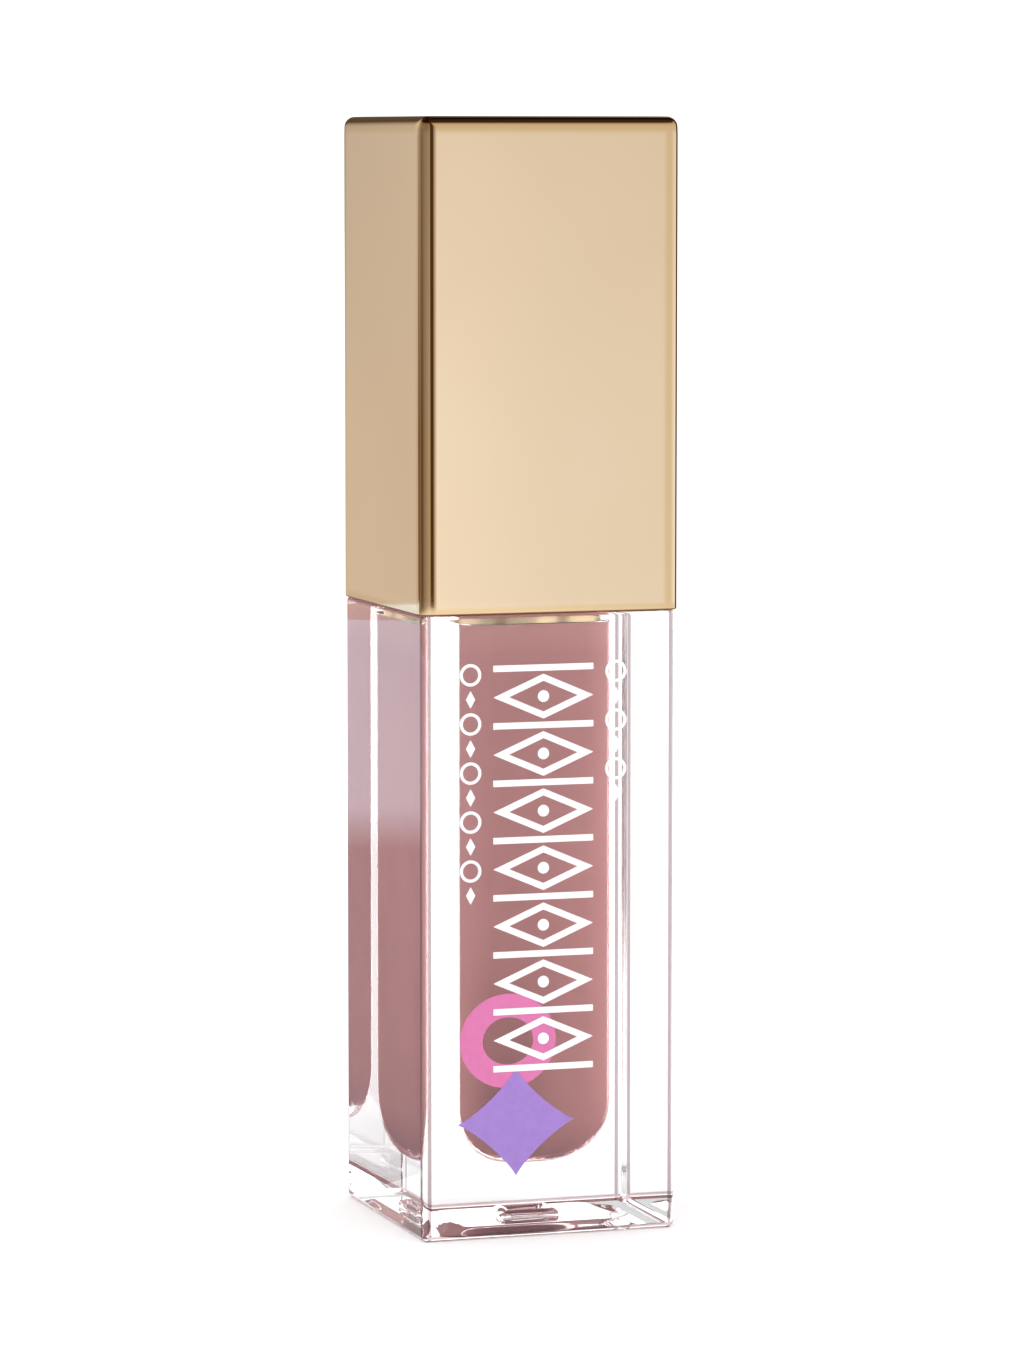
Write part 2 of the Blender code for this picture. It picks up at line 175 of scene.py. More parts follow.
def lathe(profile, steps):
    """Turn a profile of (radius, z) about Z; a point on the axis closes the body there."""
    bm = bmesh.new()
    columns = []
    for radius, z in profile:
        if radius == 0.0:
            columns.append([bm.verts.new((0.0, 0.0, z))])
        else:
            columns.append([bm.verts.new((radius * math.cos(k * 2 * math.pi / steps),
                                          radius * math.sin(k * 2 * math.pi / steps), z))
                            for k in range(steps)])
    pairs = list(zip(columns, columns[1:]))
    if len(columns[0]) > 1:
        pairs.append((columns[-1], columns[0]))
    for a, b in pairs:
        for k in range(steps):
            n = (k + 1) % steps
            if len(a) == 1:
                bm.faces.new((a[0], b[n], b[k]))
            elif len(b) == 1:
                bm.faces.new((a[k], a[n], b[0]))
            else:
                bm.faces.new((a[k], a[n], b[n], b[k]))
    return bm


def rounded(profile, radius, count=3, skip=()):
    """The profile with its corners rounded, apart from those skipped by their place in the list."""
    result = []
    last = len(profile) - 1
    for i, (x, z) in enumerate(profile):
        if i in skip or i in (0, last):
            result.append((x, z))
            continue
        here = Vector((x, z))
        before = Vector(profile[i - 1]) - here
        after = Vector(profile[i + 1]) - here
        reach = min(radius, before.length * 0.45, after.length * 0.45)
        p, q = here + before.normalized() * reach, here + after.normalized() * reach
        for step in range(count + 1):
            t = step / count
            point = p * (1 - t) ** 2 + here * 2 * t * (1 - t) + q * t ** 2
            result.append((point.x, point.y))
    return result


def thread(root, crest, start_z, steps_per_turn=48):
    """The helical ridge of the screw thread, fading out at both ends."""
    turns, base, top, run_out = 1.5, 1.3 * MM, 0.6 * MM, 0.12
    inward = 1 if crest > root else -1
    buried = root - inward * 0.2 * MM
    steps = int(turns * steps_per_turn)
    rings = []
    for step in range(steps + 1):
        share = step / steps
        fade = min(1.0, share / run_out, (1 - share) / run_out)
        fade = fade * fade * (3 - 2 * fade)
        high = root + (crest - root) * fade - inward * (1 - fade) * 0.05 * MM
        mid = buried + (high - buried) * 0.8
        angle = share * turns * 2 * math.pi
        z = start_z + share * turns * THREAD_PITCH
        section = [(buried, -base / 2), (mid, -top * 0.62), (high, -top * 0.36),
                   (high, top * 0.36), (mid, top * 0.62), (buried, base / 2)]
        rings.append([(r * math.cos(angle), r * math.sin(angle), z + dz) for r, dz in section])
    return loft(rings)


def scratch(bm):
    """A throwaway object, used as a tool for a cut or a union."""
    bmesh.ops.recalc_face_normals(bm, faces=bm.faces)
    mesh = bpy.data.meshes.new("tool")
    bm.to_mesh(mesh)
    bm.free()
    obj = bpy.data.objects.new("tool", mesh)
    bpy.context.scene.collection.objects.link(obj)
    return obj


def combine(base, *steps):
    """Cut and join: each step is (operation, bmesh). Returns the result as a bmesh."""
    obj = scratch(base)
    tools = []
    for operation, tool_bm in steps:
        tool = scratch(tool_bm)
        tools.append(tool)
        modifier = obj.modifiers.new(operation, "BOOLEAN")
        modifier.operation = operation
        modifier.solver = "EXACT"
        modifier.object = tool
    bpy.context.view_layer.update()
    evaluated = obj.evaluated_get(bpy.context.evaluated_depsgraph_get())
    result = bmesh.new()
    result.from_mesh(evaluated.to_mesh())
    evaluated.to_mesh_clear()
    for item in [obj] + tools:
        mesh = item.data
        bpy.data.objects.remove(item)
        bpy.data.meshes.remove(mesh)
    bmesh.ops.remove_doubles(result, verts=result.verts, dist=MM / 2000)
    return result


# ---------------------------------------------------------------- materials

CLEAR_IOR = 1.57
GLOSS_IOR = 0.93                       # relative to the clear wall that the gloss is seen through


class Nodes:
    """A short way to wire one material's nodes."""

    def __init__(self, name):
        self.material = bpy.data.materials.new(name)
        self.material.use_nodes = True
        self.tree = self.material.node_tree
        self.shader = self.tree.nodes["Principled BSDF"]
        self.place = self.add("ShaderNodeTexCoord").outputs["Object"]

    def add(self, kind, **values):
        node = self.tree.nodes.new(kind)
        for key, value in values.items():
            setattr(node, key, value)
        return node

    def link(self, output, target):
        self.tree.links.new(output, target)

    def set(self, **values):
        """Plain values for the shader's sockets."""
        for key, value in values.items():
            self.shader.inputs[key.replace("_", " ")].default_value = value

    def noise(self, scale, detail=4.0, roughness=0.5, stretch=(1.0, 1.0, 1.0)):
        """Noise in the object's own axes, drawn out along an axis by a small stretch."""
        mapping = self.add("ShaderNodeMapping")
        mapping.inputs["Scale"].default_value = stretch
        self.link(self.place, mapping.inputs["Vector"])
        node = self.add("ShaderNodeTexNoise")
        node.inputs["Scale"].default_value = scale
        node.inputs["Detail"].default_value = detail
        node.inputs["Roughness"].default_value = roughness
        self.link(mapping.outputs["Vector"], node.inputs["Vector"])
        return node.outputs["Fac"]

    def ramp(self, source, stops, to="Base Color"):
        """A colour ramp from (position, colour) stops into one of the shader's sockets."""
        node = self.add("ShaderNodeValToRGB")
        elements = node.color_ramp.elements
        while len(elements) < len(stops):
            elements.new(0.5)
        for element, (position, colour) in zip(elements, stops):
            element.position = position
            element.color = (*colour, 1.0)
        self.link(source, node.inputs["Fac"])
        if to:
            self.link(node.outputs["Color"], self.shader.inputs[to])
        return node.outputs["Color"]

    def roughness(self, source, low, high):
        node = self.add("ShaderNodeMapRange")
        node.inputs["To Min"].default_value = low
        node.inputs["To Max"].default_value = high
        self.link(source, node.inputs["Value"])
        self.link(node.outputs["Result"], self.shader.inputs["Roughness"])

    def bump(self, source, distance, strength):
        node = self.add("ShaderNodeBump")
        node.inputs["Distance"].default_value = distance
        node.inputs["Strength"].default_value = strength
        self.link(source, node.inputs["Height"])
        self.link(node.outputs["Normal"], self.shader.inputs["Normal"])

    def axes(self):
        """The object's own X, Y and Z."""
        split = self.add("ShaderNodeSeparateXYZ")
        self.link(self.place, split.inputs["Vector"])
        return split.outputs["X"], split.outputs["Y"], split.outputs["Z"]

    def math(self, operation, a, b=None):
        node = self.add("ShaderNodeMath", operation=operation)
        self.link(a, node.inputs[0])
        if b is not None:
            self.link(b, node.inputs[1])
        return node.outputs["Value"]

    def mixed(self, factor, a, b):
        """From colour a, an output, towards the plain colour b."""
        node = self.add("ShaderNodeMix", data_type="RGBA")
        self.link(factor, node.inputs["Factor"])
        self.link(a, node.inputs["A"])
        node.inputs["B"].default_value = (*b, 1.0)
        return node.outputs["Result"]

    def multiplied(self, a, b):
        """The product of two colours, as the shader's base colour."""
        node = self.add("ShaderNodeMix", data_type="RGBA", blend_type="MULTIPLY")
        node.inputs["Factor"].default_value = 1.0
        self.link(a, node.inputs["A"])
        self.link(b, node.inputs["B"])
        self.link(node.outputs["Result"], self.shader.inputs["Base Color"])

    def step(self, source, low, high):
        """A smooth step from 0 at the low value to 1 at the high one, which may be the smaller."""
        node = self.add("ShaderNodeMapRange", interpolation_type="SMOOTHSTEP")
        node.inputs["From Min"].default_value = low
        node.inputs["From Max"].default_value = high
        self.link(source, node.inputs["Value"])
        return node.outputs["Result"]

    def band(self, source, start, rise, fall, end):
        """1 between the two middle values, with a smooth step to 0 at the outer two."""
        return self.math("MULTIPLY", self.step(source, start, rise), self.step(source, end, fall))

    def height(self, low, high):
        """0 at the low height and 1 at the high one, in the object's own axes."""
        node = self.add("ShaderNodeMapRange")
        node.inputs["From Min"].default_value = low
        node.inputs["From Max"].default_value = high
        self.link(self.axes()[2], node.inputs["Value"])
        return node.outputs["Result"]


def gold_metallised():
    """Vacuum-metallised plastic under a tinted lacquer, with painted shade along its edges and at its
    rim.
    """
    n = Nodes("gold_metallised")
    n.set(Metallic=1.0)
    face = n.ramp(n.noise(90.0, 2.0), [(0.3, (0.768, 0.606, 0.416)), (0.7, (0.784, 0.624, 0.434))],
                  to=None)
    # painted shade: a deeper gold along the cap's edges in place of their darker reflection, and a dark
    # line at the rim where the cap meets the bottle
    edge_shade_gold, joint_shade_colour = (0.705, 0.520, 0.300), (0.16, 0.09, 0.04)
    x, y, z = n.axes()
    across = n.math("MINIMUM", n.math("ABSOLUTE", x), n.math("ABSOLUTE", y))
    sides = n.band(across, CAP_HALF - 1.35 * MM, CAP_HALF - 0.95 * MM,
                   CAP_HALF - CAP_CORNER_RADIUS, CAP_HALF - 0.5 * MM)
    top = n.step(z, CAP_TOP_Z - 1.3 * MM, CAP_TOP_Z - 0.9 * MM)
    low = n.step(z, CAP_RIM_Z + 0.7 * MM, CAP_RIM_Z + 0.3 * MM)
    # painted shade: the rim's lowest sliver goes dark, the joint line between cap and bottle
    rim = n.step(z, CAP_RIM_Z + 0.16 * MM, CAP_RIM_Z + 0.08 * MM)
    # where the painted shade deepens the gold: bands along the sides, the top and the bottom
    painted_edge_mask = n.math("MAXIMUM", sides, n.math("MAXIMUM", top, low))
    edge_shaded = n.mixed(painted_edge_mask, face, edge_shade_gold)
    n.link(n.mixed(rim, edge_shaded, joint_shade_colour), n.shader.inputs["Base Color"])
    n.roughness(n.noise(900.0, 3.0), 0.02, 0.035)
    n.bump(n.noise(160.0, 1.0), 0.002 * MM, 0.25)
    return n.material


def gold_plastic(name, dark, light, roughness, metallic):
    n = Nodes(name)
    n.set(Metallic=metallic)
    n.ramp(n.noise(400.0), [(0.3, dark), (0.7, light)])
    n.roughness(n.noise(1500.0), roughness - 0.05, roughness + 0.05)
    n.bump(n.noise(2500.0, 2.0), 0.003 * MM, 0.4)
    return n.material


def clear_plastic():
    """Polished clear plastic: faint flow waves, hairline marks, and painted shade as dark lines along
    its upright corners and its foot.
    """
    n = Nodes("clear_plastic")
    n.set(IOR=CLEAR_IOR, Transmission_Weight=1.0)
    body = n.ramp(n.noise(60.0, 1.0), [(0.3, (0.992, 0.990, 0.994)), (0.7, (0.998, 0.998, 0.998))],
                  to=None)
    # painted shade: dark lines where the corners and the foot would refract darkness, since the studio
    # alone did not give them
    edge_line_shade = (0.20, 0.13, 0.14)
    bend = BOTTLE_CORNER_RADIUS
    x, y, z = n.axes()
    x, y = n.math("ABSOLUTE", x), n.math("ABSOLUTE", y)
    inner, outer = n.math("MINIMUM", x, y), n.math("MAXIMUM", x, y)
    upright = n.band(inner, *(BOTTLE_HALF - share * bend for share in (1.25, 1.05, 0.75, 0.5)))
    foot_line = n.band(z, 0.15 * MM, 0.25 * MM, 0.38 * MM, 0.5 * MM)
    skin = n.step(outer, BOTTLE_HALF - 0.5 * MM, BOTTLE_HALF - 0.4 * MM)
    # the outer skin of the corners and the foot, which takes the painted shade
    painted_edge_mask = n.math("MULTIPLY", n.math("MAXIMUM", upright, foot_line), skin)
    n.link(n.mixed(painted_edge_mask, body, edge_line_shade), n.shader.inputs["Base Color"])
    n.roughness(n.noise(2600.0, 2.0, stretch=(1.0, 1.0, 0.04)), 0.0, 0.012)
    n.bump(n.noise(110.0, 0.0, stretch=(1.0, 1.0, 0.35)), 0.004 * MM, 0.3)
    return n.material


def rose_gloss():
    """Creamy opaque gloss: painted shade darkens it towards its floor, painted light lightens it at its
    top, with drifting pearl.
    """
    n = Nodes("rose_gloss")
    n.set(IOR=GLOSS_IOR, Roughness=0.02)
    deep = (0.655, 0.283, 0.277)
    light = (0.70, 0.318, 0.314)
    # painted shade in the bowl at the floor (the first three stops) and painted light at the top (the
    # last stop); between them the colour grows a little lighter upwards
    stops = [(0.0, (0.27, 0.085, 0.10)), (0.03, (0.44, 0.17, 0.18)), (0.09, (0.58, 0.245, 0.242)),
             (0.22, deep), (0.93, light), (1.0, (0.90, 0.47, 0.45))]
    base = n.ramp(n.height(CAVITY_FLOOR_Z, CAVITY_TOP_Z), stops, to=None)
    drift = n.ramp(n.noise(120.0, 4.0, 0.6, (1.0, 1.0, 0.5)),
                   [(0.3, (0.94, 0.93, 0.93)), (0.7, (1.04, 1.04, 1.05))], to=None)
    n.multiplied(base, drift)
    return n.material


def natural_plastic(name, colour, stain):
    """Natural soft plastic, stained towards its lower end where it stands in the gloss."""
    n = Nodes(name)
    n.set(Subsurface_Weight=0.25, Subsurface_Scale=0.6 * MM)
    base = n.ramp(n.height(CAVITY_FLOOR_Z, CAVITY_TOP_Z), [(0.55, stain), (0.85, colour)], to=None)
    speck = n.ramp(n.noise(800.0), [(0.3, (0.95, 0.95, 0.95)), (0.7, (1.0, 1.0, 1.0))], to=None)
    n.multiplied(base, speck)
    n.roughness(n.noise(1200.0), 0.28, 0.42)
    n.bump(n.noise(2000.0), 0.004 * MM, 0.4)
    return n.material


def flock_fibre():
    n = Nodes("flock_fibre")
    n.set(Sheen_Weight=0.6, Sheen_Roughness=0.4)
    n.ramp(n.noise(2600.0, 6.0, 0.7), [(0.3, (0.42, 0.17, 0.16)), (0.7, (0.66, 0.36, 0.33))])
    n.roughness(n.noise(3000.0), 0.6, 0.9)
    n.bump(n.noise(5000.0), 0.03 * MM, 0.8)
    return n.material


def ink(name, colour):
    """Screen-printed ink: even, with the fine grain of the mesh and slightly thin spots."""
    n = Nodes(name)
    thin = tuple(c * 0.94 for c in colour)
    n.ramp(n.noise(1800.0, 3.0), [(0.35, thin), (0.6, colour)])
    n.roughness(n.noise(2500.0), 0.35, 0.5)
    n.bump(n.noise(4000.0, 2.0), 0.002 * MM, 0.5)
    return n.material


# ---------------------------------------------------------------- clear bottle and its gloss

def cavity_rings(grow, floor_z, top_z):
    """The cavity's sections from its bowl-edged floor to its top, grown by a small amount."""
    half = CAVITY_HALF + grow
    fillet = CAVITY_FILLET + grow
    steps = 16
    rings = []
    for step in range(steps + 1):
        angle = step * math.pi / 2 / steps
        ring_half = half - fillet * (1 - math.sin(angle))
        radius = (CAVITY_CORNER_RADIUS + grow) * (0.45 + 0.55 * ring_half / half)
        radius = min(radius, 0.9 * ring_half)
        rings.append(square_ring(ring_half, radius, radius, floor_z + fillet * (1 - math.cos(angle))))
    rings.append(square_ring(half, CAVITY_CORNER_RADIUS + grow, CAVITY_CORNER_RADIUS + grow, top_z))
    return rings


def block_ring(half, inset, crown, corner, z):
    """A ring drawn in from a block's side, as one goes round the block's edge."""
    return square_ring(half - inset, max(crown - inset, 0.02 * MM), max(corner - inset, 0.02 * MM), z)


def gate_profile(roof):
    """The ring-shaped groove that the mould's gate leaves round a low nub."""
    middle = (GATE_RADIUS + GATE_NUB_RADIUS) / 2
    reach = (GATE_RADIUS - GATE_NUB_RADIUS) / 2
    groove = [(middle - reach * math.cos(a), roof + GATE_DEPTH * math.sin(a))
              for a in (k * math.pi / 12 for k in range(13))]
    return [(0.1 * MM, roof), (GATE_NUB_RADIUS * 0.8, roof)] + groove + [(GATE_RADIUS + 0.1 * MM, roof)]


def recess_rings(side):
    """From the recess's round roof down its slope to its square foot, eased at both ends."""
    corner = RECESS_FOOT_CORNER_RADIUS
    roof = circle_ring(RECESS_ROOF_RADIUS, RECESS_DEPTH, side)
    foot = square_ring(RECESS_FOOT_HALF, corner, corner, 0.0)
    rings = []
    for step in range(9):
        share = step / 8
        drop = share * share * (3 - 2 * share)
        z = RECESS_DEPTH * (1 - drop)
        rings.append([(a[0] + (b[0] - a[0]) * share, a[1] + (b[1] - a[1]) * share, z)
                      for a, b in zip(roof, foot)])
    return rings


def make_bottle():
    """One closed surface: gate mark, recess, rim, sides, shoulder, mouth and cavity."""
    outside = BOTTLE_HALF
    base_turn = arc_turn(BOTTLE_BASE_RADIUS, BOTTLE_BASE_RADIUS)
    top_turn = arc_turn(BOTTLE_SHOULDER_RADIUS, BOTTLE_SHOULDER_RADIUS)
    side = square_ring(outside, BOTTLE_CROWN_RADIUS, BOTTLE_CORNER_RADIUS, 0.0)
    rings = [circle_ring(r, z, side) for r, z in gate_profile(RECESS_DEPTH)]
    rings.append(circle_ring(RECESS_ROOF_RADIUS - 0.4 * MM, RECESS_DEPTH, side))
    rings += recess_rings(side)
    reach = base_turn[-1][1]
    for inward, along in reversed(base_turn):
        rings.append(block_ring(outside, inward, BOTTLE_CROWN_RADIUS, BOTTLE_CORNER_RADIUS,
                                reach - along))
    reach = top_turn[-1][1]
    for inward, along in top_turn:
        rings.append(block_ring(outside, inward, BOTTLE_CROWN_RADIUS, BOTTLE_CORNER_RADIUS,
                                SHOULDER_TOP_Z - reach + along))
    mouth = COLLAR_RADIUS - CONTACT
    rings += [circle_ring(mouth + 0.1 * MM, SHOULDER_TOP_Z, side),
              circle_ring(mouth, SHOULDER_TOP_Z - 0.1 * MM, side),
              circle_ring(mouth, CAVITY_TOP_Z, side)]
    rings += reversed(cavity_rings(0.0, CAVITY_FLOOR_Z, CAVITY_TOP_Z))
    bottle = new_piece("bottle_clear", loft(rings), "bottle", ("bottle",),
                       smooth_angle=40.0)
    bottle.data.materials.append(clear_plastic())


def make_gloss():
    """The gloss fills the cavity, with a channel where the wand stands in it."""
    body = loft(cavity_rings(CONTACT, CAVITY_FLOOR_Z - CONTACT, CAVITY_TOP_Z - HEADSPACE))
    floor_z = FLOCK_LOW[2] - SEAM
    channel = lathe([(0.0, CAVITY_TOP_Z + MM), (CHANNEL_RADIUS, CAVITY_TOP_Z + MM),
                     (CHANNEL_RADIUS, floor_z), (0.0, floor_z)], SLIM_STEPS)
    filled = combine(body, ("DIFFERENCE", channel))
    gloss = new_piece("gloss_body", filled, "bottle", ("gloss_fill",), smooth_angle=40.0)
    gloss.data.materials.append(rose_gloss())


# ---------------------------------------------------------------- neck and wiper

def make_neck():
    """The gold collar bonded in the bottle's mouth, and the threaded neck that rises from it."""
    root, bore = 4.3 * MM, 3.45 * MM
    low = CAVITY_TOP_Z
    ease = 0.25 * MM
    profile = [(bore, low), (COLLAR_RADIUS, low), (COLLAR_RADIUS, SHOULDER_Z), (root + ease, SHOULDER_Z),
               (root, SHOULDER_Z + ease), (root, NECK_HIGH[2]), (bore, NECK_HIGH[2])]
    profile = rounded(profile, 0.15 * MM, skip=(1,))
    neck = combine(lathe(profile, ROUND_STEPS), ("UNION", thread(root, 4.75 * MM, THREAD_START_Z)))
    piece = new_piece("neck_collar", neck, "bottle", ("neck_insert",))
    gold = gold_plastic("gold_collar", (0.78, 0.58, 0.33), (0.85, 0.67, 0.42),
                        roughness=0.25, metallic=0.6)
    piece.data.materials.append(gold)


def make_wiper():
    """A flanged sleeve in the neck, which narrows to the ring that wipes the wand."""
    outer, wall, orifice = WIPER_HIGH[0], 0.4 * MM, 2.15 * MM
    sleeve = 3.15 * MM
    cone_z = 49.6 * MM
    top = WIPER_HIGH[2]
    profile = [(sleeve - wall, top - 0.15 * MM), (sleeve - wall + 0.15 * MM, top), (outer, top),
               (outer, top - 0.5 * MM), (sleeve, top - 0.5 * MM), (sleeve, cone_z),
               (orifice + wall, WIPER_LOW[2]), (orifice, WIPER_LOW[2]), (sleeve - wall, cone_z)]
    piece = new_piece("wiper_sleeve", lathe(rounded(profile, 0.12 * MM), ROUND_STEPS), "bottle",
                      ("wiper",))
    piece.data.materials.append(natural_plastic("wiper_plastic", (0.84, 0.82, 0.80), (0.70, 0.42, 0.40)))


# ---------------------------------------------------------------- cap

def make_cap_shell():
    """The metallised shell: crowned faces, soft corners, a small rim and its hollow inside."""
    rim_turn = arc_turn(CAP_RIM_RADIUS, CAP_RIM_RADIUS, steps=5)
    top_turn = arc_turn(CAP_CROWN_RADIUS, CAP_CORNER_RADIUS)
    crown, corner = CAP_CROWN_RADIUS, CAP_CORNER_RADIUS
    inner_half = CAP_HALF - CAP_WALL
    inner_corner = 0.5 * MM
    roof = CAP_TOP_Z - 1.4 * MM
    rings = [block_ring(inner_half, inner_corner, inner_corner, inner_corner, roof),
             block_ring(inner_half, 0.15 * MM, inner_corner, inner_corner, roof - 0.15 * MM),
             square_ring(inner_half, inner_corner, inner_corner, roof - inner_corner),
             square_ring(inner_half, inner_corner, inner_corner, CAP_RIM_Z + CAP_RIM_RADIUS),
             square_ring(inner_half + CAP_RIM_RADIUS, corner / 2, corner / 2, CAP_RIM_Z)]
    reach = rim_turn[-1][1]
    for inward, along in reversed(rim_turn):
        rings.append(block_ring(CAP_HALF, inward, crown, corner, CAP_RIM_Z + reach - along))
    reach = top_turn[-1][1]
    for inward, along in top_turn:
        rings.append(block_ring(CAP_HALF, inward, crown, corner, CAP_TOP_Z - reach + along))
    piece = new_piece("cap_shell", loft(rings), "cap", ("outer_cap",),
                      smooth_angle=40.0)
    piece.data.materials.append(gold_metallised())


def bar(low, high):
    """A box between two opposite corners."""
    bm = bmesh.new()
    bmesh.ops.create_cube(bm, size=1.0)
    for vert in bm.verts:
        for axis in range(3):
            vert.co[axis] = high[axis] if vert.co[axis] > 0 else low[axis]
    return bm


def make_liner():
    """The threaded liner: barrel, socket, foot plate, four long ribs and four short ones."""
    bore, barrel, socket = 5.3 * MM, 6.5 * MM, 3.2 * MM
    low, ceiling, shelf, top = LINER_LOW[2], 56.5 * MM, 57.8 * MM, LINER_HIGH[2]
    socket_bore = 1.85 * MM
    profile = [(0.0, top), (socket, top), (socket, shelf), (barrel, shelf), (barrel, low), (bore, low),
               (bore, ceiling), (socket_bore, ceiling), (socket_bore, STEM_HIGH[2] + SEAM),
               (0.0, STEM_HIGH[2] + SEAM)]
    body = lathe(rounded(profile, 0.2 * MM), ROUND_STEPS)
    plate_half = LINER_HIGH[0]
    plate_rings = [square_ring(plate_half - inset, 0.4 * MM, 0.4 * MM, z) for inset, z in
                   [(0.15 * MM, low), (0.0, low + 0.15 * MM), (0.0, low + 0.95 * MM),
                    (0.15 * MM, low + 1.1 * MM)]]
    hole_radius = barrel - 0.5 * MM
    hole = lathe([(0.0, shelf), (hole_radius, shelf), (hole_radius, low - MM), (0.0, low - MM)],
                 ROUND_STEPS)
    plate = combine(loft(plate_rings), ("DIFFERENCE", hole))
    steps = [("UNION", plate)]
    for quarter in range(4):
        rib = bar((hole_radius, -0.5 * MM, low + 0.6 * MM), (plate_half, 0.5 * MM, shelf - 0.5 * MM))
        fin = bar((socket - 0.5 * MM, -0.4 * MM, shelf - 0.4 * MM),
                  (socket + 1.6 * MM, 0.4 * MM, shelf + 6.0 * MM))
        for part in (rib, fin):
            bmesh.ops.rotate(part, verts=part.verts, cent=(0, 0, 0),
                             matrix=Matrix.Rotation(quarter * math.pi / 2, 3, "Z"))
            steps.append(("UNION", part))
    steps.append(("UNION", thread(bore, 4.85 * MM, THREAD_START_Z - THREAD_PITCH / 2)))
    piece = new_piece("cap_liner", combine(body, *steps), "cap", ("inner_cap",))
    gold = gold_plastic("gold_liner", (0.60, 0.42, 0.22), (0.68, 0.50, 0.28),
                        roughness=0.34, metallic=0.8)
    piece.data.materials.append(gold)


# ---------------------------------------------------------------- stem and applicator

def make_stem():
    """The wand's rod: a collar under the cap's socket, and a bore for the applicator's spigot."""
    radius, collar, bore = 1.8 * MM, STEM_HIGH[0], 1.3 * MM
    low, top = STEM_LOW[2], STEM_HIGH[2]
    collar_z, collar_height, bore_depth = 55.65 * MM, 0.7 * MM, 6.0 * MM
    profile = [(0.0, top), (radius, top), (radius, collar_z + collar_height),
               (collar, collar_z + collar_height), (collar, collar_z), (radius, collar_z),
               (radius, low), (bore, low), (bore, low + bore_depth), (0.0, low + bore_depth)]
    piece = new_piece("stem_rod", lathe(rounded(profile, 0.15 * MM), SLIM_STEPS), "stem",
                      ("stem",))
    piece.data.materials.append(natural_plastic("stem_plastic", (0.86, 0.85, 0.82), (0.66, 0.36, 0.34)))


FIBRE_COUNT = 2600
FIBRE_ROOT = 0.06 * MM                 # the sleeve's skin lies this deep under the fibres' ends
FOOT_RADIUS = 1.75 * MM
FOOT_TIP_WIDE = 1.7 * MM
FOOT_TIP_THICK = 0.8 * MM


def foot_point(share, angle, inset, top_z, tip_z):
    """A point of the slanted doe-foot: round at the top, a thin rounded blade at the tip."""
    slant = share ** 1.4
    tip = math.sqrt(max(0.0, 1 - max(0.0, (share - 0.8) / 0.2) ** 2))
    shrink = 0.35 + 0.65 * tip
    half_x = (FOOT_RADIUS + (FOOT_TIP_WIDE - FOOT_RADIUS) * slant - inset) * shrink
    half_y = (FOOT_RADIUS + (FOOT_TIP_THICK - FOOT_RADIUS) * slant - inset) * shrink
    lean = (FOOT_RADIUS - FOOT_TIP_THICK) * slant
    return Vector((half_x * math.cos(angle), lean + half_y * math.sin(angle),
                   top_z + (tip_z - top_z) * share))


def foot(inset, top_z, tip_z, steps=28):
    """The doe-foot drawn in by an inset on all its sides, between two heights."""
    turn = [k * 2 * math.pi / SLIM_STEPS for k in range(SLIM_STEPS)]
    return loft([[foot_point(s / steps, -a, inset, top_z, tip_z) for a in turn]
                 for s in range(steps + 1)])


def make_applicator():
    """A plastic core with a spigot on top, and the flocked sleeve that it carries."""
    top, tip = FLOCK_HIGH[2], FLOCK_LOW[2]
    wall, spigot_radius, overlap = 0.4 * MM, 1.0 * MM, 0.5 * MM
    core_inset = wall + SEAM
    spigot = lathe([(0.0, CORE_HIGH[2]), (spigot_radius, CORE_HIGH[2]), (spigot_radius, top - overlap),
                    (0.0, top - overlap)], SLIM_STEPS)
    core = new_piece("applicator_rod", combine(foot(core_inset, top, CORE_LOW[2]), ("UNION", spigot)),
                     "cap", ("applicator_core",))
    core.data.materials.append(natural_plastic("core_plastic", (0.80, 0.78, 0.74), (0.70, 0.45, 0.42)))
    hollow = foot(wall, top + 0.1 * MM, tip + wall)
    shell = combine(foot(FIBRE_ROOT, top, tip + FIBRE_ROOT), ("DIFFERENCE", hollow))
    sleeve = new_piece("flock_sleeve", shell, "cap", ("applicator_flock",))
    sleeve.data.materials.append(flock_fibre())
    make_fibres(top, tip)


def make_fibres(top, tip):
    """Short flock fibres standing on the sleeve, each a slim three-sided spike."""
    rng = random.Random(7)
    bm = bmesh.new()
    for _ in range(FIBRE_COUNT):
        share = rng.uniform(0.02, 0.97)
        angle = rng.uniform(0, 2 * math.pi)
        root = foot_point(share, angle, FIBRE_ROOT, top, tip)
        crest = foot_point(share + rng.uniform(-0.012, 0.012), angle + rng.uniform(-0.12, 0.12),
                           rng.uniform(-0.02, 0.03) * MM, top, tip)
        axis = crest - root
        side = axis.cross(Vector((0, 0, 1)))
        if side.length < 1e-9:
            continue
        side.normalize()
        other = axis.normalized().cross(side)
        width = 0.018 * MM
        ring = [bm.verts.new(root - axis * 0.3 + width * (side * math.cos(t) + other * math.sin(t)))
                for t in (0.0, 2.1, 4.2)]
        end = bm.verts.new(crest)
        bm.faces.new(ring)
        for a, b in ((0, 1), (1, 2), (2, 0)):
            bm.faces.new((ring[b], ring[a], end))
    fibres = new_piece("flock_fibres", bm, "cap", smooth_angle=180.0)
    fibres.data.materials.append(flock_fibre())


# ---------------------------------------------------------------- printed ornament

INK_BACK = -BOTTLE_HALF + 0.01 * MM
INK_LAYER = 0.02 * MM                  # each colour is printed over the one before
PINK_LAYER, PURPLE_LAYER, WHITE_LAYER = 1, 2, 3


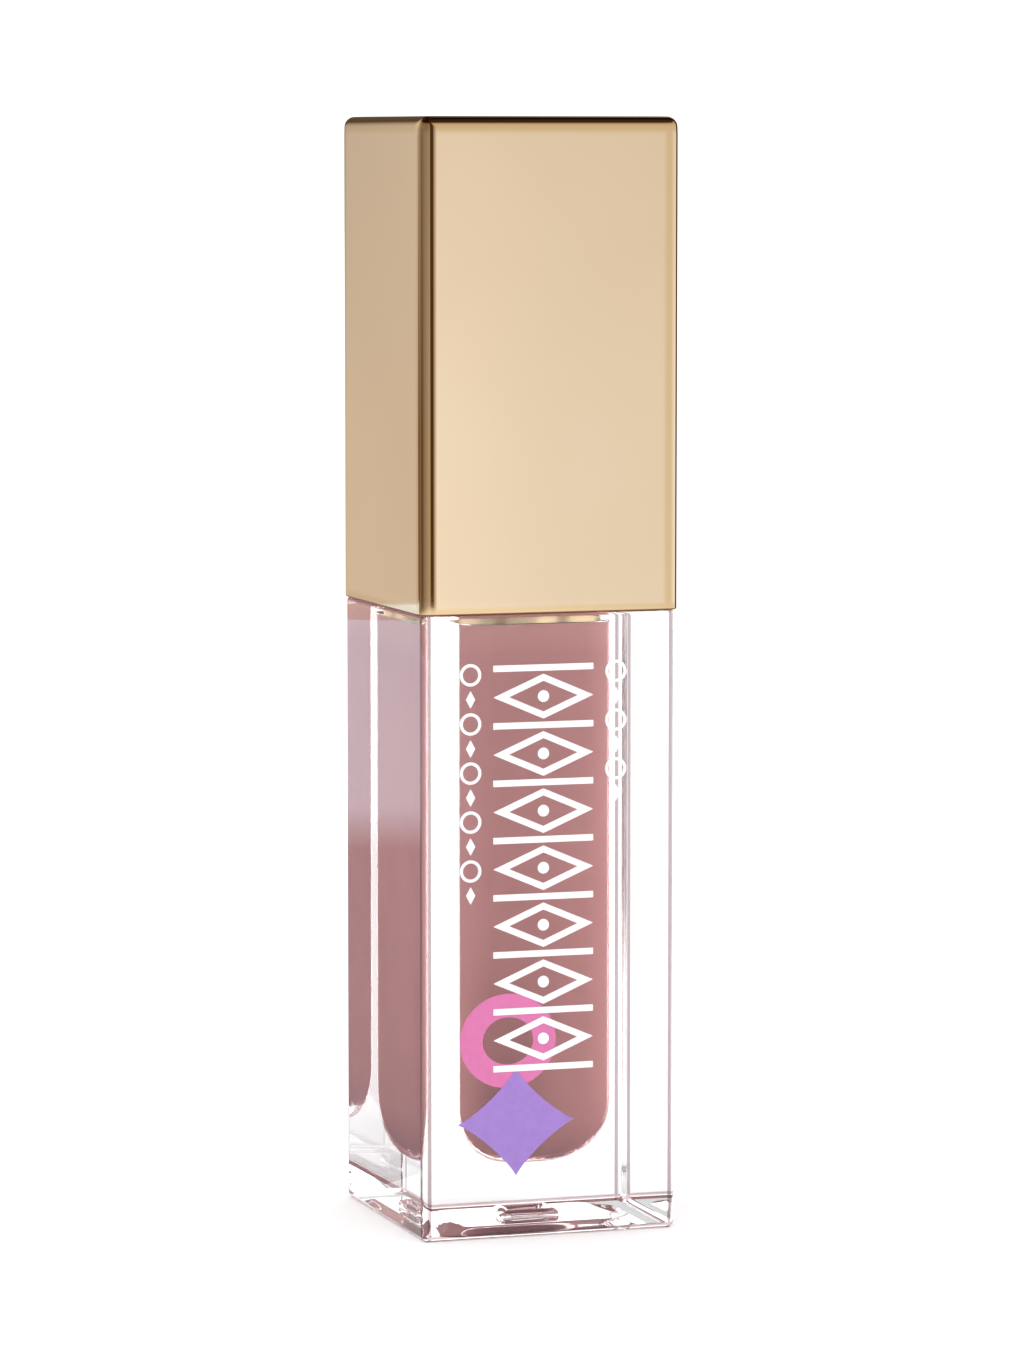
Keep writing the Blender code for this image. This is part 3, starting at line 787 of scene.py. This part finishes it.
def prism(bm, layer, outline, holes=()):
    """A thin printed shape from an outline, with an optional matching inner outline."""
    ink_front = -BOTTLE_HALF - layer * INK_LAYER
    front = [bm.verts.new((x, ink_front, z)) for x, z in outline]
    back = [bm.verts.new((x, INK_BACK, z)) for x, z in outline]
    count = len(outline)
    for i in range(count):
        j = (i + 1) % count
        bm.faces.new((front[i], front[j], back[j], back[i]))
    if not holes:
        bm.faces.new(front)
        bm.faces.new(list(reversed(back)))
        return
    inner_front = [bm.verts.new((x, ink_front, z)) for x, z in holes]
    inner_back = [bm.verts.new((x, INK_BACK, z)) for x, z in holes]
    for i in range(count):
        j = (i + 1) % count
        bm.faces.new((inner_back[i], inner_back[j], inner_front[j], inner_front[i]))
        bm.faces.new((front[j], front[i], inner_front[i], inner_front[j]))
        bm.faces.new((back[i], back[j], inner_back[j], inner_back[i]))


def shape(kind, x, z, wide, high, steps=40):
    """Outline of a lozenge, an ellipse or a four-point star about (x, z)."""
    if kind == "lozenge":
        return [(x + wide, z), (x, z + high), (x - wide, z), (x, z - high)]
    power = {"ellipse": 1.0, "star": 2.4}[kind]
    points = []
    for k in range(steps):
        a = k * 2 * math.pi / steps
        c, s = math.cos(a), math.sin(a)
        points.append((x + wide * math.copysign(abs(c) ** power, c),
                       z + high * math.copysign(abs(s) ** power, s)))
    return points


def rectangle(x0, z0, x1, z1):
    return [(x0, z0), (x1, z0), (x1, z1), (x0, z1)]


def make_print():
    """A generic ornament: a chain of lozenges, two strings of beads, a ring and a star."""
    line, dot = 0.46 * MM, 0.42 * MM
    middle = -0.55 * MM
    half = 3.75 * MM
    bm = bmesh.new()
    top, unit, count = 41.0 * MM, 4.1 * MM, 7
    for k in range(count):
        z = top - unit * (k + 0.5)
        high = unit / 2 - 0.45 * MM
        slope = math.hypot(half, high) / half
        prism(bm, WHITE_LAYER, shape("lozenge", middle, z, half, high),
              shape("lozenge", middle, z, half - line * half / high * slope, high - line * slope))
        prism(bm, WHITE_LAYER, shape("ellipse", middle, z, dot, dot, 24))
    for k in range(count + 1):
        z = top - unit * k
        prism(bm, WHITE_LAYER, rectangle(middle - half, z - line / 2, middle + half, z + line / 2))
    bead_outer, bead_inner, bead_pitch = 0.8 * MM, 0.58 * MM, 1.75 * MM
    for x, low in ((-6.0 * MM, 24.0 * MM), (4.9 * MM, 30.6 * MM)):
        z = 40.6 * MM
        bead = True
        while z > low:
            if bead:
                prism(bm, WHITE_LAYER, shape("ellipse", x, z, bead_outer, bead_outer, 28),
                      shape("ellipse", x, z, bead_inner, bead_inner, 28))
            else:
                prism(bm, WHITE_LAYER, shape("lozenge", x, z, 0.34 * MM, 0.62 * MM))
            bead = not bead
            z -= bead_pitch
    white = new_piece("print_white", bm, "bottle", smooth_angle=20.0)
    white.data.materials.append(ink("ink_white", (0.94, 0.94, 0.95)))
    bm = bmesh.new()
    prism(bm, PINK_LAYER, shape("ellipse", -3.2 * MM, 14.3 * MM, 3.6 * MM, 3.4 * MM, 72),
          shape("ellipse", -3.2 * MM, 14.3 * MM, 1.9 * MM, 1.7 * MM, 72))
    pink = new_piece("print_pink", bm, "bottle", smooth_angle=20.0)
    pink.data.materials.append(ink("ink_pink", (0.69, 0.17, 0.40)))
    bm = bmesh.new()
    prism(bm, PURPLE_LAYER, shape("star", -2.6 * MM, 8.4 * MM, 4.4 * MM, 3.9 * MM, 96))
    purple = new_piece("print_purple", bm, "bottle", smooth_angle=20.0)
    purple.data.materials.append(ink("ink_purple", (0.35, 0.20, 0.60)))


# ---------------------------------------------------------------- studio

AZIMUTH = math.radians(18.2)           # the camera stands this far to the left of the decorated face
EYE_HEIGHT = 78.7 * MM
DISTANCE = 408.4 * MM
LENS = 149.3
AIM_HEIGHT = 39.2 * MM
AIM_ASIDE = 0.1 * MM


def make_camera():
    data = bpy.data.cameras.new("camera")
    camera = bpy.data.objects.new("camera", data)
    bpy.context.scene.collection.objects.link(camera)
    data.lens = LENS
    data.sensor_width = 36.0
    data.sensor_fit = "AUTO"
    data.clip_start = 0.01
    data.clip_end = 20.0
    camera.location = (-DISTANCE * math.sin(AZIMUTH), -DISTANCE * math.cos(AZIMUTH), EYE_HEIGHT)
    aim = Vector((AIM_ASIDE, 0.0, AIM_HEIGHT)) - camera.location
    camera.rotation_euler = aim.to_track_quat("-Z", "Y").to_euler()
    bpy.context.scene.camera = camera


def emission_material(name, build, strength):
    material = bpy.data.materials.new(name)
    material.use_nodes = True
    tree = material.node_tree
    tree.nodes.clear()
    output = tree.nodes.new("ShaderNodeOutputMaterial")
    emission = tree.nodes.new("ShaderNodeEmission")
    tree.links.new(emission.outputs["Emission"], output.inputs["Surface"])
    emission.inputs["Strength"].default_value = strength
    build(tree, emission)
    material.cycles.emission_sampling = "NONE"
    return material


def heading_pattern(low, high, border, heights):
    """Brightness of the studio's dome by heading, with one pattern low down and another high up.

    Heading 0 faces the camera, and grows towards the camera's right, in degrees. The border is where
    the patterns blend, as two shares of the dome's height, and the heights fade both.
    """
    def build(tree, emission):
        place = tree.nodes.new("ShaderNodeTexCoord").outputs["Object"]
        gradient = tree.nodes.new("ShaderNodeTexGradient")
        gradient.gradient_type = "RADIAL"
        tree.links.new(place, gradient.inputs["Vector"])
        split = tree.nodes.new("ShaderNodeSeparateXYZ")
        tree.links.new(place, split.inputs["Vector"])

        def share(start, end):
            node = tree.nodes.new("ShaderNodeMapRange")
            node.inputs["From Min"].default_value = start * WALL_HEIGHT
            node.inputs["From Max"].default_value = end * WALL_HEIGHT
            tree.links.new(split.outputs["Z"], node.inputs["Value"])
            return node.outputs["Result"]

        def colours(stops, source):
            ramp = ramp_node(tree, stops)
            tree.links.new(source, ramp.inputs["Fac"])
            return ramp.outputs["Color"]

        def mixed(blend, factor, a, b):
            node = tree.nodes.new("ShaderNodeMix")
            node.data_type = "RGBA"
            node.blend_type = blend
            if factor is None:
                node.inputs["Factor"].default_value = 1.0
            else:
                tree.links.new(factor, node.inputs["Factor"])
            tree.links.new(a, node.inputs["A"])
            tree.links.new(b, node.inputs["B"])
            return node.outputs["Result"]

        rounds = [colours([((h + 180) / 360, v) for h, v in stops], gradient.outputs["Fac"])
                  for stops in (low, high)]
        pattern = mixed("MIX", share(*border), *rounds)
        faded = mixed("MULTIPLY", None, pattern, colours(heights, share(0.0, 1.0)))
        tree.links.new(faded, emission.inputs["Color"])
    return build


def ramp_node(tree, stops):
    node = tree.nodes.new("ShaderNodeValToRGB")
    elements = node.color_ramp.elements
    while len(elements) < len(stops):
        elements.new(0.5)
    for element, (position, value) in zip(elements, stops):
        element.position = position
        colour = value if isinstance(value, tuple) else (value, value, value)
        element.color = (*colour, 1.0)
    return node


WALL_RADIUS = 0.5
WALL_HEIGHT = 0.6
SKY_STRENGTH = 1.15
FLOOR_GLOW = 0.22
REFLECTED_STRENGTH = 1.32
REFRACTED_STRENGTH = 2.4


def studio_object(name, bm, material):
    """A mesh of the studio, which isn't part of the tube."""
    mesh = bpy.data.meshes.new(name)
    bm.to_mesh(mesh)
    bm.free()
    mesh.materials.append(material)
    obj = bpy.data.objects.new(name, mesh)
    bpy.context.scene.collection.objects.link(obj)
    return obj


def make_wall(name, material, glossy, transmission):
    """A dome round the table that only reflected, or only refracted, rays can see."""
    steps, bands = 96, 12
    bm = bmesh.new()
    turns = [k * 2 * math.pi / steps for k in range(steps)]
    columns = []
    for band in range(bands):
        climb = band * math.pi / 2 / bands
        radius, z = WALL_RADIUS * math.cos(climb), WALL_HEIGHT * math.sin(climb)
        columns.append([bm.verts.new((radius * math.cos(a), radius * math.sin(a), z)) for a in turns])
    for low, high in zip(columns, columns[1:]):
        for k in range(steps):
            n = (k + 1) % steps
            bm.faces.new((low[k], low[n], high[n], high[k]))
    bm.faces.new(columns[-1])
    wall = studio_object(name, bm, material)
    # the radial gradient's seam points away from the camera, so heading 0 is its middle
    wall.rotation_euler = (0.0, 0.0, math.pi / 2 - AZIMUTH - math.pi)
    hide_from(wall, glossy, transmission)


def make_card(name, headings, rows, stops, strength, glossy, transmission):
    """A curved card between two headings, through (radius, height) rows; its colour goes by radius."""
    first, last = (math.radians(h) - math.pi / 2 - AZIMUTH for h in headings)
    steps = 24
    bm = bmesh.new()
    lines = []
    for radius, height in rows:
        turns = [first + (last - first) * k / steps for k in range(steps + 1)]
        lines.append([bm.verts.new((radius * math.cos(a), radius * math.sin(a), height)) for a in turns])
    for low, high in zip(lines, lines[1:]):
        for k in range(steps):
            bm.faces.new((low[k], low[k + 1], high[k + 1], high[k]))

    def build(tree, emission):
        place = tree.nodes.new("ShaderNodeTexCoord").outputs["Object"]
        length = tree.nodes.new("ShaderNodeVectorMath")
        length.operation = "LENGTH"
        tree.links.new(place, length.inputs[0])
        level = tree.nodes.new("ShaderNodeMapRange")
        level.inputs["From Min"].default_value = 0.0
        level.inputs["From Max"].default_value = WALL_RADIUS
        tree.links.new(length.outputs["Value"], level.inputs["Value"])
        ramp = ramp_node(tree, stops)
        tree.links.new(level.outputs["Result"], ramp.inputs["Fac"])
        tree.links.new(ramp.outputs["Color"], emission.inputs["Color"])

    card = studio_object(name, bm, emission_material(name, build, strength))
    hide_from(card, glossy, transmission)


def hide_from(obj, glossy, transmission):
    """Shows it only to reflected or to refracted rays, so that it lights and shades nothing."""
    obj.visible_camera = False
    obj.visible_diffuse = False
    obj.visible_shadow = False
    obj.visible_volume_scatter = False
    obj.visible_glossy = glossy
    obj.visible_transmission = transmission


def make_studio():
    """A white table and sky, with the walls and cards that the glossy and clear pieces show."""
    world = bpy.data.worlds.new("studio")
    bpy.context.scene.world = world
    world.use_nodes = True
    world.node_tree.nodes["Background"].inputs["Color"].default_value = (1.0, 1.0, 1.0, 1.0)
    world.node_tree.nodes["Background"].inputs["Strength"].default_value = SKY_STRENGTH

    bm = bmesh.new()
    bmesh.ops.create_grid(bm, x_segments=2, y_segments=2, size=4.0)
    paint = Nodes("floor_paint")
    paint.ramp(paint.noise(6.0), [(0.3, (0.93, 0.93, 0.93)), (0.7, (0.95, 0.95, 0.95))])
    paint.set(Roughness=0.9, Specular_IOR_Level=0.0, Emission_Strength=FLOOR_GLOW)
    paint.shader.inputs["Emission Color"].default_value = (1.0, 1.0, 1.0, 1.0)
    floor = studio_object("floor", bm, paint.material)

    dark = (0.09, 0.042, 0.014)
    brown = (0.22, 0.150, 0.102)
    warm = (0.80, 0.76, 0.71)
    behind = (0.12, 0.085, 0.06)
    sides = [(-180, 0.85), (-150, (0.645, 0.563, 0.48)), (-130, (0.57, 0.495, 0.42)), (-122, dark),
             (-112, dark), (-100, brown), (-84, brown), (-70, (0.113, 0.058, 0.030)),
             (-58, (0.13, 0.074, 0.041)), (-38, (0.26, 0.196, 0.13)), (-12, (0.34, 0.27, 0.196)),
             (10, (0.42, 0.35, 0.27)), (21, (0.50, 0.43, 0.35)), (25.4, dark), (30.3, dark),
             (31.7, 0.98), (37, 0.82), (42, (0.80, 0.785, 0.76)), (46, (0.79, 0.775, 0.74)),
             (60, (0.82, 0.80, 0.77)), (109, 0.98), (114, dark), (152, dark), (158, 0.82), (180, 0.82)]
    above = [(-180, behind), (-152, behind), (-140, warm), (-115, warm), (-85, (0.40, 0.35, 0.30)),
             (-60, (0.30, 0.25, 0.20)), (10, (0.30, 0.25, 0.20)), (21, (0.42, 0.36, 0.29)),
             (25.4, dark), (30.3, dark), (31.7, warm), (109, warm), (114, dark), (152, dark),
             (158, 0.9), (166, 0.9), (180, behind)]
    fade = [(0.0, 0.95), (0.06, 0.92), (0.14, 0.865), (0.2, (0.84, 0.83, 0.81)),
            (0.34, (0.80, 0.77, 0.73)), (0.48, (0.74, 0.69, 0.63)), (0.60, (0.60, 0.53, 0.44)),
            (0.67, (0.30, 0.22, 0.15)), (0.73, (0.08, 0.045, 0.025)), (1.0, (0.035, 0.017, 0.009))]
    pattern = heading_pattern(sides, above, (0.05, 0.24), fade)
    reflected = emission_material("reflected_wall", pattern, REFLECTED_STRENGTH)
    make_wall("reflected_wall", reflected, glossy=True, transmission=False)
    through = [(-180, 0.72), (-70, 0.72), (-60, 0.40), (24, 0.40), (32, 1.0), (120, 0.95), (150, 0.72),
               (180, 0.72)]
    through_fade = [(0.0, 1.0), (0.4, 1.0), (0.5, 0.8), (0.7, 0.9), (1.0, 1.0)]
    pattern = heading_pattern(through, through, (0.0, 1.0), through_fade)
    refracted = emission_material("refracted_wall", pattern, REFRACTED_STRENGTH)
    make_wall("refracted_wall", refracted, glossy=False, transmission=True)
    table, skirt = 0.4 * MM, 2.4 * MM
    shade, blue = (0.29, 0.27, 0.29), (0.78, 0.89, 1.0)
    make_card("table_card", (-172, -112), [(0.012, table), (0.4994, table), (0.499, skirt)],
              [(0.0, shade), (0.43, shade), (0.51, blue)], 1.35, glossy=True, transmission=False)
    make_card("front_card", (-72, 30), [(0.11, table), (0.47, table)],
              [(0.22, 1.0), (0.34, (0.17, 0.135, 0.17)), (0.72, (0.13, 0.10, 0.13)), (0.94, 1.0)],
              1.0, glossy=False, transmission=True)
    rose = (0.29, 0.13, 0.135)
    make_card("rear_card", (104, 226), [(0.44, 0.155), (0.38, 0.30), (0.24, 0.42)],
              [(0.0, rose), (1.0, rose)], 1.0, glossy=False, transmission=True)

    bpy.context.scene.view_settings.view_transform = "Standard"
    bpy.context.scene.view_settings.look = "None"


make_camera()
make_studio()
make_bottle()
make_gloss()
make_neck()
make_wiper()
make_cap_shell()
make_liner()
make_stem()
make_applicator()
make_print()
